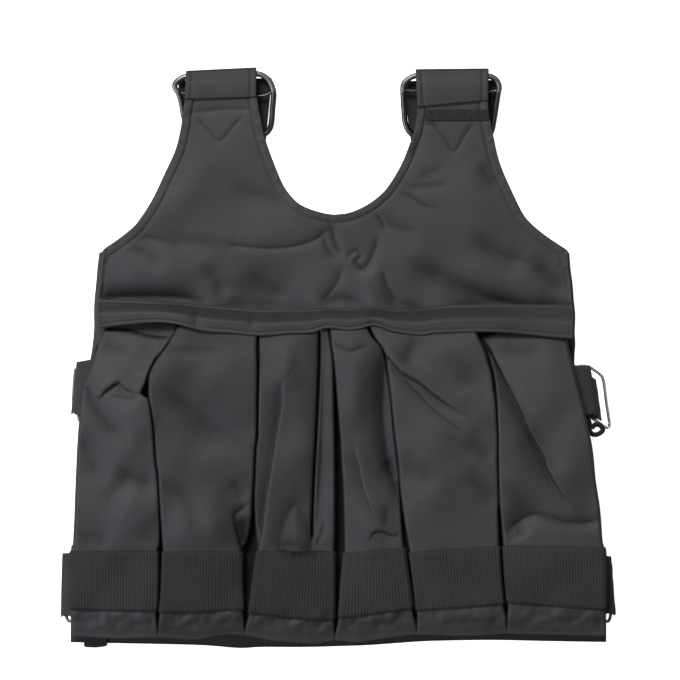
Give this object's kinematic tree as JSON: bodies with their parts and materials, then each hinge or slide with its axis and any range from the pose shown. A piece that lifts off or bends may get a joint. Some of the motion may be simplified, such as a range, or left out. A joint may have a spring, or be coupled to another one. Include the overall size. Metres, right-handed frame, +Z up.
{
  "type": "weighted vest",
  "caption": "Dark grey adjustable weighted vest lying on its back, with a row of slack empty pockets under a long flap, elastic bands and ringed shoulder straps.",
  "frame": {"origin": "middle of the vest's footprint, on the floor that its back panel lies on", "axes": "+X to the right side of the picture, +Y from the hem to the shoulders, +Z up from the floor"},
  "size_m": [0.4274, 0.4472, 0.0347],
  "materials": {
    "cloth": "smooth closely woven bag cloth, faint satin sheen",
    "elastic": "ribbed knitted elastic, matt",
    "webbing": "flat woven strap, matt",
    "dark_webbing": "black woven strap and hook tape, matt",
    "gunmetal": "dark nickel plate, glossy",
    "bright_metal": "bright plate, glossy"
  },
  "bodies": {
    "root": {"front_panel": "cloth", "back_panel": "cloth", "back_hem_tab": "dark_webbing", "pocket_1": "cloth", "elastic_band_1": "elastic", "pocket_2": "cloth", "elastic_band_2": "elastic", "pocket_3": "cloth", "elastic_band_3": "elastic", "pocket_4": "cloth", "elastic_band_4": "elastic", "pocket_5": "cloth", "elastic_band_5": "elastic", "pocket_6": "cloth", "elastic_band_6": "elastic", "pocket_flap": "cloth", "shoulder_ring_left": "gunmetal", "shoulder_strap_left": "cloth", "shoulder_loop_left": "dark_webbing", "shoulder_ring_right": "gunmetal", "shoulder_strap_right": "cloth", "shoulder_loop_right": "dark_webbing", "shoulder_hook_right": "dark_webbing", "side_ring_upper_left": "bright_metal", "ring_keeper_upper_left": "webbing", "side_strap_upper_left": "webbing", "side_ring_upper_right": "bright_metal", "ring_keeper_upper_right": "webbing", "side_strap_upper_right": "webbing", "side_ring_lower_left": "bright_metal", "ring_keeper_lower_left": "webbing", "side_strap_lower_left": "webbing", "side_ring_lower_right": "bright_metal", "ring_keeper_lower_right": "webbing", "side_strap_lower_right": "webbing"}
  },
  "joints": []
}
